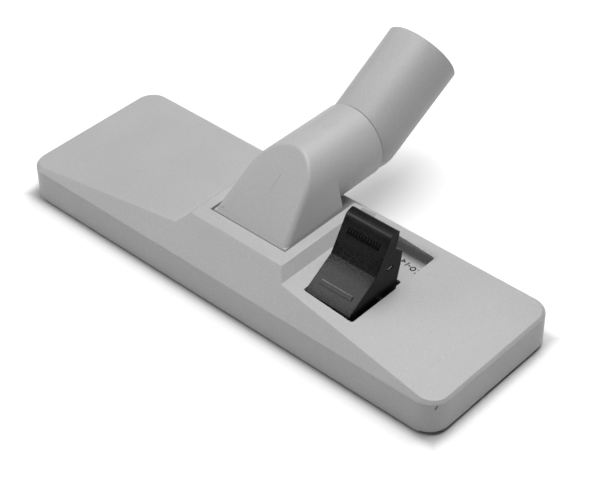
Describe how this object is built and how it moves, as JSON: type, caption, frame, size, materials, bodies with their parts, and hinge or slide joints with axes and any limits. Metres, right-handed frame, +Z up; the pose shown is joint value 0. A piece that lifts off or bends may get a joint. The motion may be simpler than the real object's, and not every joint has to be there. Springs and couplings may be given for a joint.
{
  "type": "vacuum floor head",
  "caption": "Wide low floor head for a vacuum cleaner, with a tilting neck, a swivelling bent tube socket, and a foot pedal that lowers two rows of bristles.",
  "frame": {"origin": "on the floor, in the middle of the sole, on the bridge across the suction mouth", "axes": "+X to the right end seen from the front, +Y to the back, where the tube leaves, +Z up"},
  "size_m": [0.29, 0.1773, 0.0944],
  "materials": {
    "housing_plastic": "satin, fine moulded grain",
    "neck_plastic": "satin, fine moulded grain",
    "tube_plastic": "satin, fine moulded grain",
    "sole_plastic": "satin",
    "inner_plastic": "satin",
    "pedal_plastic": "fine grain",
    "carriage_plastic": "satin",
    "bristle_fibre": "stiff fibres",
    "lip_rubber": "matt",
    "steel_wire": "drawn",
    "screw_steel": "zinc plated",
    "wheel_rubber": "matt",
    "lint_fabric": "one-way pile"
  },
  "bodies": {
    "head": {"upper_housing": "housing_plastic", "sole_plate": "sole_plastic", "suction_duct": "inner_plastic", "neck_bearing_left": "inner_plastic", "neck_bearing_right": "inner_plastic", "pedal_pin": "steel_wire", "front_lip": "lip_rubber", "sole_screws": "screw_steel", "wheel_axle_left": "steel_wire", "wheel_axle_right": "steel_wire", "lint_strip_front_left": "lint_fabric", "lint_strip_front_right": "lint_fabric", "lint_strip_rear_left": "lint_fabric", "lint_strip_rear_right": "lint_fabric"},
    "neck": {"neck_body": "neck_plastic"},
    "tube": {"swivel_tube": "tube_plastic", "swivel_ring": "inner_plastic"},
    "pedal": {"rocker_pedal": "pedal_plastic", "toggle_spring": "steel_wire"},
    "carriage": {"brush_carriage": "carriage_plastic", "front_bristles": "bristle_fibre", "rear_bristles": "bristle_fibre"},
    "wheel_left": {"rear_wheel_left": "wheel_rubber"},
    "wheel_right": {"rear_wheel_right": "wheel_rubber"}
  },
  "joints": [
    {"name": "neck_tilt", "type": "hinge", "parent": "head", "child": "neck", "pos_m": [0, 0, 0.03], "axis": [1, 0, 0], "range_deg": [0, 60]},
    {"name": "tube_swivel", "type": "hinge", "parent": "neck", "child": "tube", "pos_m": [0, 0.0605, 0.0482], "axis": [0, 1, 0], "continuous": true},
    {"name": "pedal_rock", "type": "hinge", "parent": "head", "child": "pedal", "pos_m": [0.063, -0.006, 0.022], "axis": [-1, 0, 0], "range_deg": [0, 20]},
    {"name": "brush_lift", "type": "slide", "parent": "head", "child": "carriage", "axis": [0, 0, -1], "range_m": [0, 0.006]},
    {"name": "rear_wheel_left_spin", "type": "hinge", "parent": "head", "child": "wheel_left", "pos_m": [-0.1, 0.0385, 0.006], "axis": [1, 0, 0], "continuous": true},
    {"name": "rear_wheel_right_spin", "type": "hinge", "parent": "head", "child": "wheel_right", "pos_m": [0.1, 0.0385, 0.006], "axis": [1, 0, 0], "continuous": true}
  ],
  "couplings": [
    {"joint": "brush_lift", "follows": "pedal_rock", "m_per_rad": 0.017189}
  ]
}
